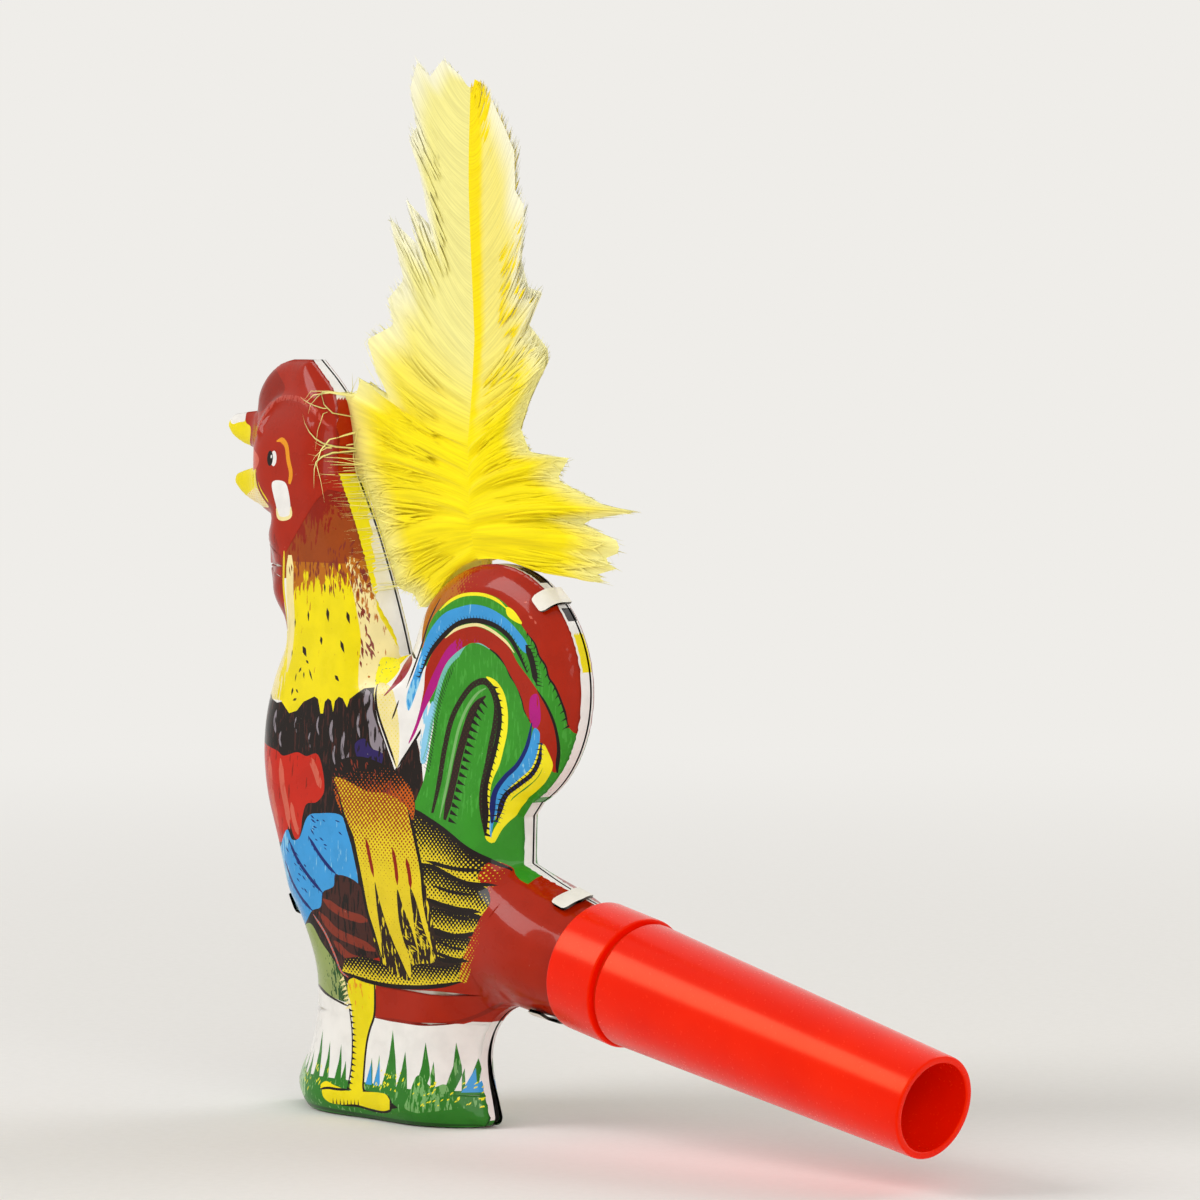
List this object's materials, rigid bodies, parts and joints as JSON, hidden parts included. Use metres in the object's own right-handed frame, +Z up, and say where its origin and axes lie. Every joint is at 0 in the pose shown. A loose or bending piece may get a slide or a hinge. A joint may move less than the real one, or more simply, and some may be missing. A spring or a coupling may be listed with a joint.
{
  "type": "tin horn noisemaker",
  "caption": "Rooster-shaped pressed tin horn with a tapered plastic mouthpiece, a beating reed inside and a dyed feather in its tail.",
  "frame": {"origin": "middle of the whole object's box, on the surface that the base stands on", "axes": "+Z up, the mouthpiece points towards +X, the beak towards -X, and the seam between the half shells is the plane Y = 0"},
  "size_m": [0.1267, 0.0176, 0.1339],
  "materials": {
    "printed_tin": "lacquered print on tinplate",
    "mouthpiece_plastic": "glossy moulded",
    "reed_plastic": "satin moulded",
    "reed_brass": "rolled strip",
    "feather": "dyed feather"
  },
  "bodies": {
    "shell": {"left_shell": "printed_tin", "right_shell": "printed_tin"},
    "plume": {"feather": "feather"},
    "mouth": {"mouthpiece": "mouthpiece_plastic", "reed_body": "reed_plastic", "reed_clip": "reed_plastic"},
    "tongue": {"reed_tongue": "reed_brass"}
  },
  "joints": [
    {"name": "mouthpiece_pull", "type": "slide", "parent": "shell", "child": "mouth", "axis": [0.9792, 0, -0.2028], "range_m": [0, 0.009]},
    {"name": "reed_beat", "type": "hinge", "parent": "mouth", "child": "tongue", "pos_m": [0.019, 0, 0.02027], "axis": [0, 1, 0], "range_deg": [-2.5, 1.5], "stiffness_Nm_per_rad": 0.01},
    {"name": "feather_sway", "type": "hinge", "parent": "shell", "child": "plume", "pos_m": [-0.0142, 0, 0.0705], "axis": [1, 0, 0], "range_deg": [-5, 5], "stiffness_Nm_per_rad": 0.01}
  ]
}
